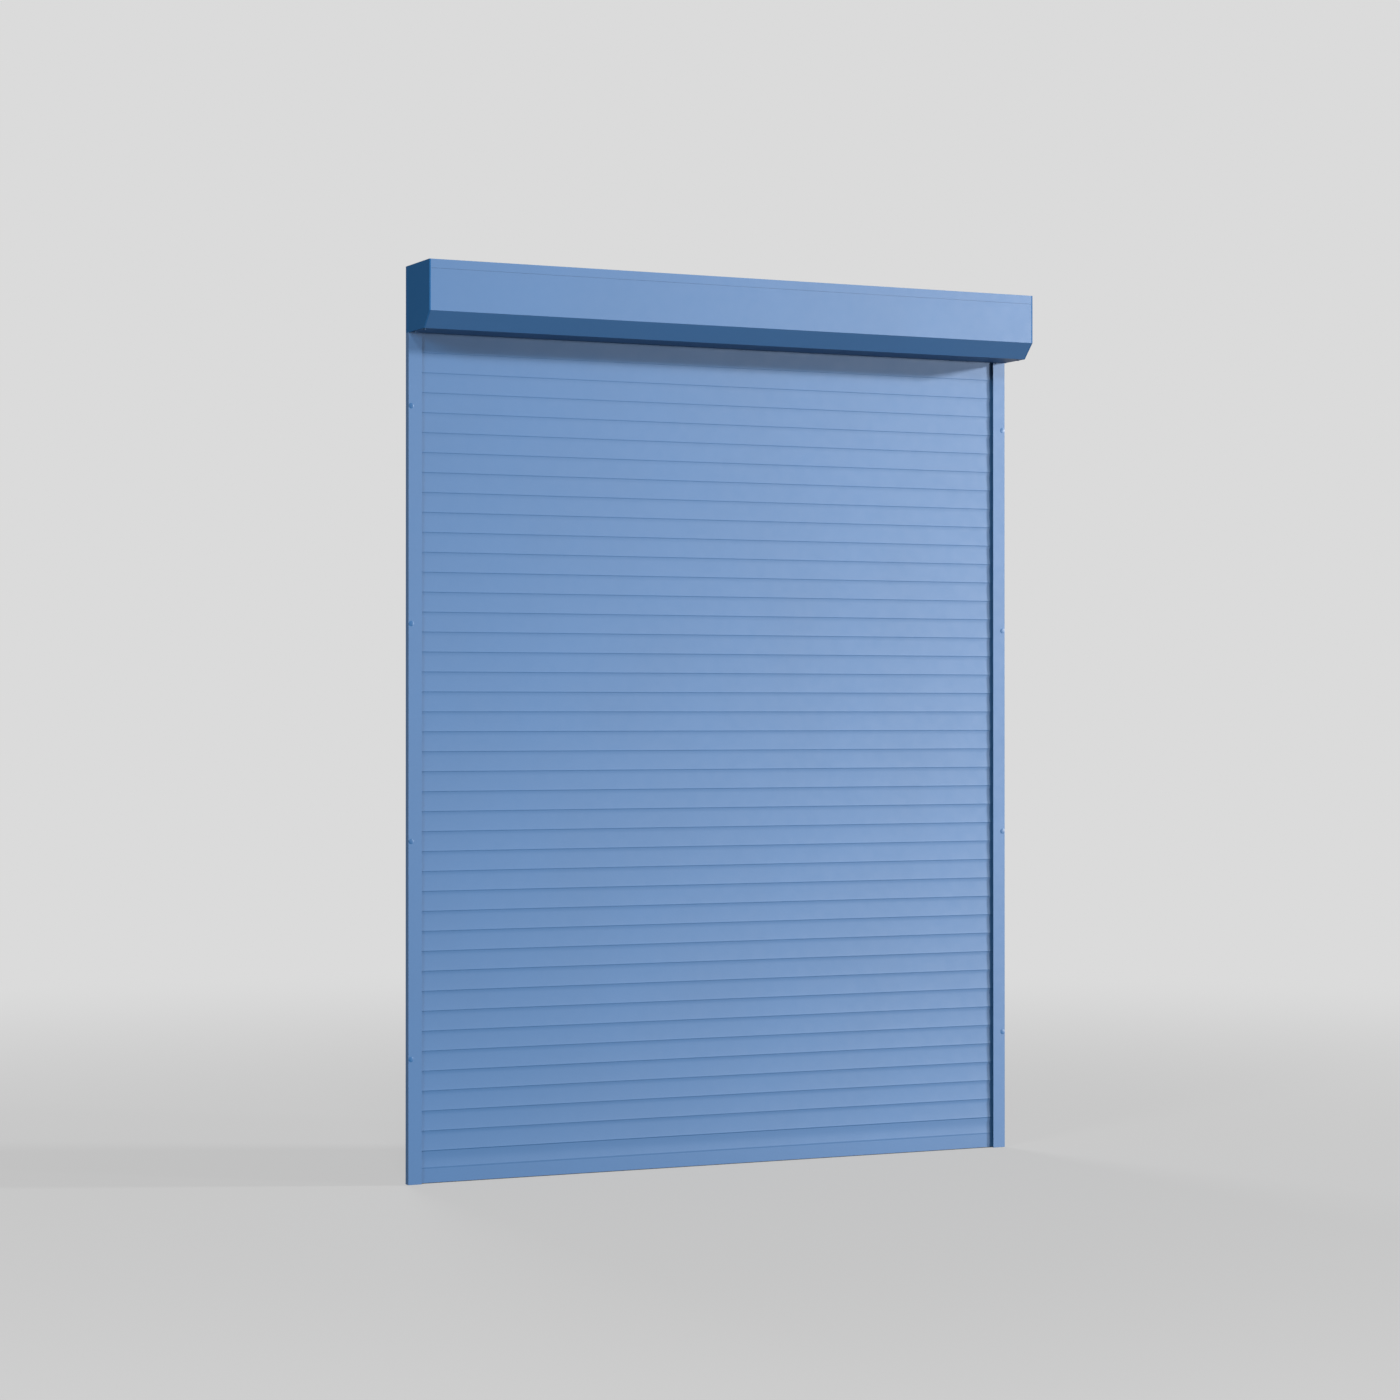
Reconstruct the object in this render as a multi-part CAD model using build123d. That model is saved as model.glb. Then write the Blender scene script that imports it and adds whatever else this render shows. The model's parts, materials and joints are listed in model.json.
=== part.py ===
from build123d import *
import math
import os

# Exterior roller shutter with a 45 degree headbox, motor driven, all lengths in millimetres.
# X runs right seen from outside, Y runs towards the wall, Z runs up.
# The origin is at mid width, in the wall plane, at sill level.

# Overall sizes
overall_width = 1550
overall_height = 2067
box_depth = 150
box_height = 150
box_chamfer = 36
sheet = 1.5
overrun = 5

# Sides of the small pieces that repeat, and of the folded interlock
fastener_sides = 8
pocket_sides = 5
bulb_sides = 3
seat_sides = 1

# Headbox panels
lip_height = 20
panel_gap = 0.4
tongue_height = 10
outlet_depth = 18.5
hem_height = 10
cable_hole_radius = 8
cable_inset = 75
cable_drop = 27

# Guide rails
guide_width = 32
guide_depth = 18
guide_wall = 1.5
chamber_width = 9.5
hook_wall = 0.9
hook_lip = 0.9
hook_lip_thickness = 0.7
brush_width = 5.2
brush_pocket = 1.1
brush_clearance = 0.1
fixing_first_height = 282
fixing_pitch = 490
fixing_top_margin = 100
fixing_radius = 2.6
plug_radius = 5
plug_thickness = 3
plug_clearance = 0.1
foot_height = 14
foot_clearance = 0.3

# Slats and their interlock
slat_pitch = 45
curtain_setback = 6
end_clearance = 2.5
lock_thickness = 1.5
lock_width = 4.5
lock_height = 22
slats_per_lock = 2
slats_per_node = 2
hinge_rise = 3
barrel_radius = 3.5
barrel_wall = 1
bulb_clearance = 0.4
seat_gap = 0.45
neck_thickness = 1.2
neck_shoulder = 1.5
slat_depth = 9
front_sagitta = 1
dip_height = 36
dip_depth = 1
dip_sagitta = 0.2
rear_sagitta = 1.4
flank_angle = 100
seat_front_angle = 58
mouth_front_angle = 50
neck_lean_angle = 20
bulb_sweep_angle = 180
mouth_rear_angle = 42
seat_rear_angle = 50
barrel_rear_angle = 60

# End slat
end_slat_height = 72
end_slat_floor_gap = 1.5
end_slat_wall = 1.3
crease_height = 36.6
crease_step = 0.4
crease_run = 3.4
slot_lip = 1.2
slot_mouth = 3.2
slot_width = 5.2
slot_height = 2.8
slot_clearance = 0.15
plug_plate_inset = 0.6
plug_tenon = 12

# Shaft, its ends and the motor
shaft_across_flats = 60
shaft_wall = 1
shaft_drop = 75
shaft_setout = 75
rest_clearance = 0.1
running_clearance = 0.05
motor_radius = 22.5
motor_length = 500
motor_head_radius = 24
motor_head_length = 20
motor_stud_width = 16
motor_stud_length = 7
crown_length = 20
flange_thickness = 2
adapter_length = 18
stub_radius = 6
stub_length = 8
capsule_length = 60
pin_radius = 6
bearing_radius = 14
bearing_width = 8
bearing_inner_radius = 9
cup_mouth_gap = 1.6
cup_wall = 3
cup_lip = 1

# End caps and brackets
cap_plate = 3
rim_thickness = 2
rim_length = 11
rim_clearance = 0.2
rim_window_depth = 22
rim_window_height = 23
tongue_length = 40
tongue_clearance = 0.4
boss_radius = 5.5
boss_length = 8
boss_circle_radius = 31
boss_count = 3
bracket_radius = 37
bracket_thickness = 3
screw_radius = 2
screw_head_radius = 3.6
screw_head_height = 2.2
screw_length = 10
screw_clearance = 0.05
cover_boss_width = 9
cover_boss_height = 12
cover_screw_rear = 36
cover_screw_bend_gap = 18
rivet_radius = 2
rivet_head_radius = 3.4
rivet_head_height = 1
rivet_low = 52
rivet_high = 118

# Inlet funnels and outlet seal
funnel_web = 2
funnel_web_clearance = 0.2
funnel_wall = 1.8
funnel_height = 32
funnel_flare = 10
funnel_end_gap = 1
seal_thickness = 2
seal_height = 4
soft_gap = 0.3

# Spring steel hangers
hanger_count = 3
hanger_spacing = 560
hanger_width = 24
hanger_thickness = 0.8
hanger_overlap = 6
clip_width = 34
clip_stem_height = 12
clip_stem_width = 2.6
clip_clearance = 0.1
tab_length = 4

# Grommet
grommet_bore_radius = 4
grommet_flange = 3
grommet_flange_thickness = 1.5
grommet_clearance = 0.1

# Places worked out from the sizes above
half_width = overall_width / 2
box_bottom = overall_height - box_height
half_panel = half_width - cap_plate
cover_screw_front = box_depth - box_chamfer - cover_screw_bend_gap
slat_count = int((box_bottom - end_slat_height) // slat_pitch)
curtain_top = end_slat_height + slat_count * slat_pitch
channel_floor = 2 * guide_wall + chamber_width
half_curtain = half_width - channel_floor - end_clearance
half_slat = half_curtain - lock_thickness
hinge_y = barrel_radius + curtain_setback - guide_depth
pocket_radius = barrel_radius - barrel_wall
bulb_radius = pocket_radius - bulb_clearance
seat_radius = barrel_radius + seat_gap
rear_edge = slat_depth - barrel_radius - rear_sagitta
brush_tip = hinge_y - barrel_radius - soft_gap
shaft_y = -shaft_setout
shaft_z = overall_height - shaft_drop
inner_flats = shaft_across_flats - 2 * shaft_wall - 2 * rest_clearance
boss_face = half_panel - boss_length
bracket_face = boss_face - bracket_thickness
motor_head_end = bracket_face - motor_head_length
shaft_end = motor_head_end - flange_thickness
motor_end = motor_head_end - motor_length
idler_face = bracket_face - bearing_width - cup_lip
shaft_start = -(idler_face - flange_thickness)
chamber_centre = half_width - guide_wall - chamber_width / 2
fixing_span = box_bottom - fixing_top_margin - fixing_first_height
fixing_rows = int(fixing_span // fixing_pitch) + 1
fixing_heights = [fixing_first_height + row * fixing_pitch for row in range(fixing_rows)]
hanger_places = [(n - (hanger_count - 1) / 2) * hanger_spacing for n in range(hanger_count)]
top_bulb_z = curtain_top + slat_pitch + hinge_rise
clip_top = top_bulb_z + clip_stem_height


# Small helpers
def span_box(x_span, y_span, z_span):
    centre = [(span[0] + span[1]) / 2 for span in (x_span, y_span, z_span)]
    sides = [abs(span[1] - span[0]) for span in (x_span, y_span, z_span)]
    return Pos(*centre) * Box(*sides)


def along_x(section, x_span):
    return Pos(x_span[0], 0, 0) * extrude(Plane.YZ * section, amount=x_span[1] - x_span[0])


def polygon(points):
    return make_face(Polyline(*points, close=True))


def rod_x(radius, x_span, y, z):
    length = abs(x_span[1] - x_span[0])
    return Pos(sum(x_span) / 2, y, z) * Rot(0, 90, 0) * Cylinder(radius, length)


def rod_y(radius, x, y_span, z):
    length = abs(y_span[1] - y_span[0])
    return Pos(x, sum(y_span) / 2, z) * Rot(90, 0, 0) * Cylinder(radius, length)


def pin_x(radius, x_span, y, z):
    """A rod along X with few sides, for the small pieces that repeat."""
    length = abs(x_span[1] - x_span[0])
    rod = extrude(RegularPolygon(radius, fastener_sides), amount=length)
    return Pos(min(x_span), y, z) * Rot(0, 90, 0) * rod


def pin_y(radius, x, y_span, z):
    length = abs(y_span[1] - y_span[0])
    rod = extrude(RegularPolygon(radius, fastener_sides), amount=length)
    return Pos(x, max(y_span), z) * Rot(90, 0, 0) * rod


def pin_z(radius, x, y, z_span):
    length = abs(z_span[1] - z_span[0])
    rod = extrude(RegularPolygon(radius, fastener_sides), amount=length)
    return Pos(x, y, min(z_span)) * rod


def octagon(across_flats):
    corner = across_flats / 2 / math.cos(math.pi / 8)
    turns = [math.pi / 8 + n * math.pi / 4 for n in range(8)]
    return polygon([(corner * math.cos(turn), corner * math.sin(turn)) for turn in turns])


def octagon_x(across_flats, x_span):
    return Pos(0, shaft_y, shaft_z) * along_x(octagon(across_flats), x_span)


def other_side(shape):
    return mirror(shape, about=Plane.YZ)


def save(name, *shapes):
    solids = [solid for shape in shapes for solid in shape.solids()]
    made = solids[0] if len(solids) == 1 else Compound(children=solids)
    export_step(made, os.path.join("parts", name + ".step"))


# Interlocking slat section, drawn with depth towards the wall from the hinge line and height
# above the slat's own joint line. Angles run from straight down towards the front.
def around(centre, radius, angle):
    turn = math.radians(angle)
    return (centre[0] - radius * math.sin(turn), centre[1] - radius * math.cos(turn))


def arc_around(centre, radius, start, end):
    angles = (start, (start + end) / 2, end)
    return ThreePointArc(*[around(centre, radius, angle) for angle in angles])


def flats_outside(centre, radius, start, end, sides):
    """Points of a folded run whose flats touch a circle from outside."""
    step = (end - start) / sides
    corner = radius / math.cos(math.radians(step / 2))
    corners = [around(centre, corner, start + (n + 1 / 2) * step) for n in range(sides)]
    return [around(centre, radius, start)] + corners + [around(centre, radius, end)]


def flats_inside(centre, radius, start, end, sides):
    """Points of a folded run whose corners lie on a circle."""
    step = (end - start) / sides
    return [around(centre, radius, start + n * step) for n in range(sides + 1)]


def lines(points):
    return [Line(*pair) for pair in zip(points, points[1:])]


def bowed(start, end, sagitta):
    middle = ((start[0] + end[0]) / 2 + sagitta, (start[1] + end[1]) / 2)
    return ThreePointArc(start, middle, end)


def head_edges(height):
    """The top of a slat: seat under the next barrel, leaning neck and bulb, ending at the rear edge."""
    centre = (0, height + hinge_rise)
    root = math.degrees(math.asin(neck_thickness / 2 / seat_radius))
    front_root = root - neck_lean_angle
    rear_root = -root - neck_lean_angle
    lean = math.radians(neck_lean_angle)
    half_neck = neck_thickness / 2

    def shoulder(across):
        return (
            centre[0] + neck_shoulder * math.sin(lean) - across * math.cos(lean),
            centre[1] - neck_shoulder * math.cos(lean) - across * math.sin(lean),
        )

    bulb_start = 90 - neck_lean_angle
    points = flats_outside(centre, seat_radius, seat_front_angle, front_root, seat_sides)
    points += [shoulder(half_neck)]
    points += flats_inside(centre, bulb_radius, bulb_start, bulb_start + bulb_sweep_angle, bulb_sides)
    points += [shoulder(-half_neck)]
    points += flats_outside(centre, seat_radius, rear_root, -seat_rear_angle, 1)
    points += [(rear_edge, height)]
    return lines(points)


def pocket_edges(outer_radius, inner_radius, rear_angle):
    """The open barrel from its rear lip, round the pocket, to its front lip."""
    centre = (0, hinge_rise)
    start = -mouth_rear_angle
    end = mouth_front_angle - 360
    points = [around(centre, outer_radius, start)]
    points += flats_outside(centre, inner_radius, start, end, pocket_sides)
    points += [around(centre, outer_radius, end)]
    return [arc_around(centre, outer_radius, -rear_angle, start)] + lines(points)


def slat_section():
    centre = (0, hinge_rise)
    flank = around(centre, barrel_radius, flank_angle)
    front_top = around((0, slat_pitch + hinge_rise), seat_radius, seat_front_angle)
    rear_bottom = (rear_edge, seat_gap)
    rear_barrel = around(centre, barrel_radius, -barrel_rear_angle)
    edges = pocket_edges(barrel_radius, pocket_radius, barrel_rear_angle)
    edges += [arc_around(centre, barrel_radius, mouth_front_angle, flank_angle)]
    dip = (flank[0] + dip_depth, dip_height)
    edges += [bowed(flank, dip, dip_sagitta), bowed(dip, front_top, dip_sagitta)]
    edges += head_edges(slat_pitch)
    edges += [bowed((rear_edge, slat_pitch), rear_bottom, rear_sagitta)]
    edges += [Line(rear_bottom, rear_barrel)]
    return make_face(edges)


def slot_outline(inset):
    """The T shaped slot under the end slat, drawn from its rear lip to its front lip."""
    middle = (rear_edge - barrel_radius + 2 * crease_step) / 2
    half_mouth = slot_mouth / 2 - inset
    half_slot = slot_width / 2 - inset
    low = end_slat_floor_gap + slot_lip + inset
    high = end_slat_floor_gap + slot_lip + slot_height - inset
    return [
        (middle + half_mouth, end_slat_floor_gap),
        (middle + half_mouth, low),
        (middle + half_slot, low),
        (middle + half_slot, high),
        (middle - half_slot, high),
        (middle - half_slot, low),
        (middle - half_mouth, low),
        (middle - half_mouth, end_slat_floor_gap),
    ]


def end_slat_chambers(inset):
    """The two hollows of the end slat, as depth and height spans."""
    rear = rear_edge - end_slat_wall - inset
    slot_top = end_slat_floor_gap + slot_lip + slot_height
    lower = (slot_top + end_slat_wall + inset, crease_height - end_slat_wall - inset)
    upper = (crease_height + inset, end_slat_height - 2 * end_slat_wall - inset)
    lower_front = 2 * crease_step - barrel_radius + end_slat_wall + inset
    upper_front = front_sagitta - barrel_radius + end_slat_wall + crease_step + inset
    return [((lower_front, rear), lower), ((upper_front, rear), upper)]


def end_slat_section():
    front = 2 * crease_step - barrel_radius
    crease = (front - crease_step, crease_height)
    front_top = around((0, end_slat_height + hinge_rise), seat_radius, seat_front_angle)
    edges = [
        Line((front, end_slat_floor_gap), (front, crease_height - crease_run)),
        Line((front, crease_height - crease_run), crease),
        bowed(crease, front_top, front_sagitta),
    ]
    edges += head_edges(end_slat_height)
    slot = slot_outline(0)
    edges += [Line((rear_edge, end_slat_height), (rear_edge, end_slat_floor_gap))]
    edges += [Line((rear_edge, end_slat_floor_gap), slot[0])]
    edges += lines(slot)
    edges += [Line(slot[-1], (front, end_slat_floor_gap))]
    return make_face(edges)


# Curtain
def make_slat():
    return Pos(0, hinge_y, 0) * along_x(slat_section(), (-half_slat, half_slat))


def make_end_slat():
    bar = along_x(end_slat_section(), (-half_slat, half_slat))
    for depths, heights in end_slat_chambers(0):
        bar -= span_box((-half_width, half_width), depths, heights)
    return Pos(0, hinge_y, 0) * bar


def make_bottom_seal():
    slot = slot_outline(slot_clearance)
    foot = [(slot[0][0], 0)] + slot + [(slot[-1][0], 0)]
    return Pos(0, hinge_y, 0) * along_x(polygon(foot), (-half_slat, half_slat))


def make_end_slat_plug():
    front = 2 * crease_step - barrel_radius + plug_plate_inset
    rear = rear_edge - plug_plate_inset
    low = end_slat_floor_gap + plug_plate_inset
    high = end_slat_height - end_slat_wall - plug_plate_inset
    plug = span_box((half_slat, half_curtain), (front, rear), (low, high))
    for depths, heights in end_slat_chambers(slot_clearance):
        plug += span_box((half_slat - plug_tenon, half_slat), depths, heights)
    return Pos(0, hinge_y, 0) * plug


def make_slat_lock():
    middle = slat_pitch / 2
    heights = (middle - lock_height / 2, middle + lock_height / 2)
    depths = (rear_edge - lock_width, rear_edge)
    return Pos(0, hinge_y, 0) * span_box((half_slat, half_curtain), depths, heights)


# Guide rails, drawn for the right side
def guide_section():
    inner_face = guide_wall - guide_depth
    lip_low = inner_face + brush_pocket
    lip_high = lip_low + hook_lip_thickness
    outer_hook = guide_width - hook_wall
    inner_hook = outer_hook - brush_width
    outline = [
        (0, 0),
        (guide_width, 0),
        (guide_width, -guide_wall),
        (channel_floor, -guide_wall),
        (channel_floor, inner_face),
        (inner_hook - hook_wall, inner_face),
        (inner_hook - hook_wall, lip_high),
        (inner_hook + hook_lip, lip_high),
        (inner_hook + hook_lip, lip_low),
        (inner_hook, lip_low),
        (inner_hook, inner_face),
        (outer_hook, inner_face),
        (outer_hook, lip_low),
        (outer_hook - hook_lip, lip_low),
        (outer_hook - hook_lip, lip_high),
        (guide_width, lip_high),
        (guide_width, -guide_depth),
        (0, -guide_depth),
    ]
    return polygon([(half_width - across, depth) for across, depth in outline])


def make_guide():
    rail = extrude(guide_section(), amount=box_bottom, dir=(0, 0, 1))
    chamber = (half_width - guide_wall - chamber_width, half_width - guide_wall)
    rail -= span_box(chamber, (guide_wall - guide_depth, -guide_wall), (-overrun, box_bottom + overrun))
    for height in fixing_heights:
        rail -= rod_y(fixing_radius, chamber_centre, (-guide_wall - overrun, overrun), height)
        front = (-guide_depth - overrun, guide_wall + overrun - guide_depth)
        rail -= pin_y(plug_radius, chamber_centre, front, height)
    return rail


def make_brush():
    outer = half_width - guide_width + hook_wall
    inner_face = guide_wall - guide_depth
    backing_x = (outer + brush_clearance, outer + brush_width - brush_clearance)
    backing_y = (inner_face + brush_clearance, inner_face + brush_pocket - brush_clearance)
    heights = (0, box_bottom)
    pile_x = (outer + hook_lip + brush_clearance, outer + brush_width - hook_lip - brush_clearance)
    backing = span_box(backing_x, backing_y, heights)
    return backing + span_box(pile_x, (backing_y[1], brush_tip), heights)


def make_guide_plug(height):
    depth = (-guide_depth, plug_thickness - guide_depth)
    return pin_y(plug_radius - plug_clearance, chamber_centre, depth, height)


def make_guide_foot():
    gap = foot_clearance
    outer = (half_width - guide_wall - chamber_width + gap, half_width - guide_wall - gap)
    depth = (guide_wall - guide_depth + gap, -guide_wall - gap)
    foot = span_box(outer, depth, (0, foot_height))
    hollow_x = (outer[0] + guide_wall, outer[1] - guide_wall)
    hollow_y = (depth[0] + guide_wall, depth[1] - guide_wall)
    return foot - span_box(hollow_x, hollow_y, (guide_wall, foot_height + overrun))


# Headbox panels
def make_rear_top_panel():
    front = -box_depth
    top = overall_height
    lip = top - lip_height
    shell = [
        (0, box_bottom),
        (0, top),
        (front, top),
        (front, lip),
        (front + sheet, lip),
        (front + sheet, top - sheet),
        (-sheet, top - sheet),
        (-sheet, box_bottom),
    ]
    behind = front + sheet + rim_clearance
    tongue = [
        (front + sheet, lip + sheet),
        (front + sheet, lip),
        (behind, lip),
        (behind, lip - tongue_height),
        (behind + sheet, lip - tongue_height),
        (behind + sheet, lip + sheet),
    ]
    half_tongue = half_panel - rim_length - rim_thickness
    panel = along_x(polygon(shell), (-half_panel, half_panel))
    panel += along_x(polygon(tongue), (-half_tongue, half_tongue))
    cable_x = half_width - cable_inset
    cable_z = overall_height - cable_drop
    panel -= pin_y(cable_hole_radius, cable_x, (-sheet - overrun, overrun), cable_z)
    for x, z in rivet_places():
        panel -= pin_y(rivet_radius + screw_clearance, x, (-sheet - overrun / 2, overrun), z)
    return panel


def make_inspection_cover():
    front = -box_depth
    top = overall_height - lip_height - panel_gap
    bend = sheet * math.tan(math.pi / 8)
    rear = -outlet_depth
    outline = [
        (front, top),
        (front, box_bottom + box_chamfer),
        (front + box_chamfer, box_bottom),
        (rear, box_bottom),
        (rear, box_bottom + hem_height),
        (rear - sheet, box_bottom + hem_height),
        (rear - sheet, box_bottom + sheet),
        (front + box_chamfer + bend, box_bottom + sheet),
        (front + sheet, box_bottom + box_chamfer + bend),
        (front + sheet, top),
    ]
    cover = along_x(polygon(outline), (-half_panel, half_panel))
    for x, y in cover_screw_places():
        cover -= pin_z(screw_radius + screw_clearance, x, y, (box_bottom - overrun, box_bottom + overrun))
    return cover


def cover_screw_places():
    x = half_panel - rim_length / 2
    return [(side * x, -depth) for side in (-1, 1) for depth in (cover_screw_rear, cover_screw_front)]


def make_cover_screw(x, y):
    head = pin_z(screw_head_radius, x, y, (box_bottom - screw_head_height, box_bottom))
    return head + pin_z(screw_radius, x, y, (box_bottom, box_bottom + screw_length))


def rivet_places():
    x = half_panel - rim_length / 2
    return [(side * x, box_bottom + height) for side in (-1, 1) for height in (rivet_low, rivet_high)]


def make_rivet(x, z):
    """A flush rivet in the rear panel, headed over inside the end cap's rim."""
    grip = -sheet - rim_clearance - rim_thickness
    head = pin_y(rivet_head_radius, x, (grip - rivet_head_height, grip), z)
    return head + pin_y(rivet_radius, x, (grip, 0), z)


def make_grommet():
    x = half_width - cable_inset
    z = overall_height - cable_drop
    inside = (-sheet - grommet_flange_thickness, -sheet)
    body = pin_y(cable_hole_radius - grommet_clearance, x, (-sheet, 0), z)
    body += pin_y(cable_hole_radius + grommet_flange, x, inside, z)
    return body - rod_y(grommet_bore_radius, x, (-sheet - overrun, overrun), z)


def make_outlet_seal():
    low = box_bottom + sheet
    hem = -outlet_depth
    span = half_width - guide_width - funnel_end_gap
    outline = [
        (hem, low),
        (hem + seal_thickness, low),
        (hem + seal_thickness, low + seal_height),
        (brush_tip, low + 2 * seal_height),
        (hem, low + 2 * seal_height),
    ]
    return along_x(polygon(outline), (-span, span))


# End caps, drawn for the right side
def box_outline():
    return polygon(
        [
            (0, box_bottom),
            (0, overall_height),
            (-box_depth, overall_height),
            (-box_depth, box_bottom + box_chamfer),
            (box_chamfer - box_depth, box_bottom),
        ]
    )


def boss_places():
    turns = [math.pi / 2 + n * 2 * math.pi / boss_count for n in range(boss_count)]
    radius = boss_circle_radius
    return [(shaft_y + radius * math.cos(turn), shaft_z + radius * math.sin(turn)) for turn in turns]


def make_end_cap():
    rim_offset = sheet + rim_clearance
    outer = offset(box_outline(), amount=-rim_offset, kind=Kind.INTERSECTION)
    inner = offset(box_outline(), amount=-rim_offset - rim_thickness, kind=Kind.INTERSECTION)
    rim_x = (half_panel - rim_length, half_panel)
    rim = along_x(outer - inner, rim_x)
    window_y = (-rim_window_depth, overrun)
    window_z = (box_bottom - overrun, box_bottom + rim_window_height)
    rim -= span_box((rim_x[0] - overrun, half_panel), window_y, window_z)
    cap = along_x(box_outline(), (half_panel, half_width)) + rim
    floor = box_bottom + rim_offset
    for y in (-cover_screw_rear, -cover_screw_front):
        half_boss = cover_boss_width / 2
        cap += span_box(rim_x, (y - half_boss, y + half_boss), (floor, floor + cover_boss_height))
        hole_z = (box_bottom, box_bottom + screw_length + screw_clearance)
        cap -= pin_z(screw_radius + screw_clearance, sum(rim_x) / 2, y, hole_z)
    for y, z in boss_places():
        cap += pin_x(boss_radius, (boss_face, half_panel + sheet), y, z)
        hole_x = (boss_face, boss_face + screw_length - bracket_thickness + screw_clearance)
        cap -= pin_x(screw_radius + screw_clearance, hole_x, y, z)
    gap = tongue_clearance
    tongue_x = (half_width - guide_wall - chamber_width + gap, half_width - guide_wall - gap)
    tongue_y = (guide_wall - guide_depth + gap, -guide_wall - gap)
    cap += span_box(tongue_x, tongue_y, (box_bottom - tongue_length, box_bottom + rim_clearance + cap_plate))
    for x, z in rivet_places():
        cap -= pin_y(rivet_radius + screw_clearance, x, (-box_depth / 4, 0), z)
    return cap


def make_bracket_screws(side):
    screws = []
    for y, z in boss_places():
        head = pin_x(screw_head_radius, (bracket_face - screw_head_height, bracket_face), y, z)
        screw = head + pin_x(screw_radius, (bracket_face, bracket_face + screw_length), y, z)
        screws.append(screw if side > 0 else other_side(screw))
    return screws


def make_bracket_plate():
    plate = octagon_x(2 * bracket_radius, (bracket_face, boss_face))
    for y, z in boss_places():
        hole_x = (bracket_face - overrun, boss_face + overrun)
        plate -= pin_x(screw_radius + screw_clearance, hole_x, y, z)
    return plate


def make_motor_bracket():
    side = motor_stud_width + 2 * rest_clearance
    hole = Pos(0, shaft_y, shaft_z) * along_x(
        Rectangle(side, side), (bracket_face - overrun, boss_face + overrun)
    )
    return make_bracket_plate() - hole


def make_bearing_holder():
    cup_x = (bracket_face - bearing_width - cup_lip, bracket_face)
    cup = octagon_x(2 * (bearing_radius + cup_wall), cup_x)
    seat_x = (bracket_face - bearing_width, boss_face + overrun)
    mouth_x = (cup_x[0] - overrun, boss_face)
    holder = make_bracket_plate() + cup
    holder -= rod_x(bearing_radius + screw_clearance, seat_x, shaft_y, shaft_z)
    holder -= rod_x(bearing_inner_radius + cup_mouth_gap, mouth_x, shaft_y, shaft_z)
    return other_side(holder)


def make_bearing_outer_ring():
    faces = (bracket_face - bearing_width, bracket_face)
    ring = rod_x(bearing_radius, faces, shaft_y, shaft_z)
    ring -= rod_x(bearing_inner_radius + running_clearance, faces, shaft_y, shaft_z)
    return other_side(ring)


def make_bearing_inner_ring():
    faces = (bracket_face - bearing_width, bracket_face)
    ring = rod_x(bearing_inner_radius, faces, shaft_y, shaft_z)
    ring -= rod_x(pin_radius + screw_clearance, faces, shaft_y, shaft_z)
    return other_side(ring)


# Shaft with what turns with it
def make_shaft():
    tube = octagon_x(shaft_across_flats, (shaft_start, shaft_end))
    tube -= octagon_x(shaft_across_flats - 2 * shaft_wall, (shaft_start - overrun, shaft_end + overrun))
    front = shaft_y - shaft_across_flats / 2
    half_slot = hanger_width / 2 + clip_clearance
    half_height = hanger_thickness + clip_clearance
    for x in hanger_places:
        slot_y = (front - overrun, front + shaft_wall + overrun)
        tube -= span_box(
            (x - half_slot, x + half_slot), slot_y, (shaft_z - half_height, shaft_z + half_height)
        )
    return tube


def make_motor_tube():
    tube = rod_x(motor_radius, (motor_end, motor_head_end), shaft_y, shaft_z)
    bore = (motor_end - overrun, motor_end + stub_length + running_clearance)
    return tube - rod_x(stub_radius + running_clearance, bore, shaft_y, shaft_z)


def make_motor_head():
    head = rod_x(motor_head_radius, (motor_head_end, bracket_face), shaft_y, shaft_z)
    stud_x = (bracket_face, bracket_face + motor_stud_length)
    half_stud = motor_stud_width / 2
    stud_y = (shaft_y - half_stud, shaft_y + half_stud)
    return head + span_box(stud_x, stud_y, (shaft_z - half_stud, shaft_z + half_stud))


def make_motor_crown():
    inner_end = shaft_end - crown_length
    crown = octagon_x(inner_flats, (inner_end, shaft_end))
    crown += octagon_x(shaft_across_flats, (shaft_end, motor_head_end - running_clearance))
    bore = (inner_end - overrun, motor_head_end + overrun)
    return crown - rod_x(motor_radius + running_clearance, bore, shaft_y, shaft_z)


def make_drive_adapter():
    faces = (motor_end - running_clearance - adapter_length, motor_end - running_clearance)
    wheel = octagon_x(inner_flats, faces)
    return wheel + rod_x(stub_radius, (faces[1], motor_end + stub_length), shaft_y, shaft_z)


def make_idler_capsule():
    inner_end = shaft_start + capsule_length
    capsule = octagon_x(inner_flats, (shaft_start, inner_end))
    capsule += octagon_x(shaft_across_flats, (shaft_start - flange_thickness + running_clearance, shaft_start))
    bore = (shaft_start - overrun, inner_end + overrun)
    return capsule - rod_x(pin_radius + screw_clearance, bore, shaft_y, shaft_z)


def make_idler_pin():
    return rod_x(pin_radius, (-bracket_face, shaft_start + capsule_length), shaft_y, shaft_z)


# Spring steel hangers
def strap(section, x):
    return along_x(section, (x - hanger_width / 2, x + hanger_width / 2))


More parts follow.
